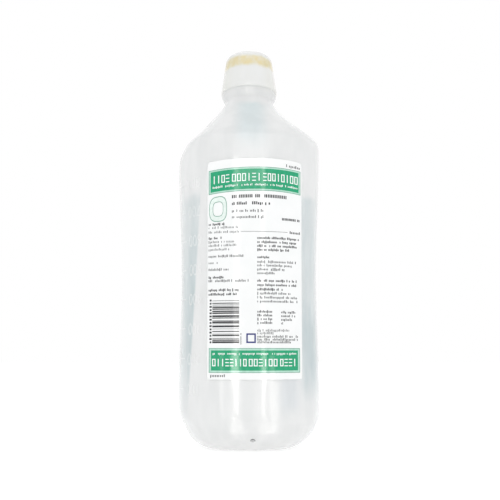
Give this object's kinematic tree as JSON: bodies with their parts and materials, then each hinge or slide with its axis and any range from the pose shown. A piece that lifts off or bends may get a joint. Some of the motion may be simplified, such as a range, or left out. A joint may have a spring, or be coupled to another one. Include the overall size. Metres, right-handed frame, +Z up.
{
  "type": "infusion fluid bottle",
  "caption": "Upright oval plastic infusion bottle, filled with clear fluid, with a tapered cap over a rubber stopper, a front label and a fold-out hanger in its base.",
  "frame": {"origin": "centre of the base, on the surface that the bottle stands on", "axes": "+Z up along the bottle towards the cap, -Y out of the front with the label, +X to the right seen from the front"},
  "size_m": [0.095, 0.081, 0.2633],
  "materials": {
    "frosted_plastic": "frosted, translucent",
    "clear_liquid": "clear liquid",
    "insert_plastic": "satin",
    "tan_rubber": "matte",
    "cap_plastic": "satin, translucent",
    "label_film": "smooth printed film",
    "hanger_plastic": "satin, translucent"
  },
  "bodies": {
    "bottle_body": {"bottle": "frosted_plastic", "saline": "clear_liquid", "cap_insert": "insert_plastic", "rubber_stopper": "tan_rubber", "cap_shell": "cap_plastic", "label": "label_film"},
    "hanger_body": {"hanger": "hanger_plastic"}
  },
  "joints": [
    {"name": "hanger_fold", "type": "hinge", "parent": "bottle_body", "child": "hanger_body", "pos_m": [0, -0.004, 0.0027], "axis": [-1, 0, 0], "range_deg": [0, 90]}
  ]
}
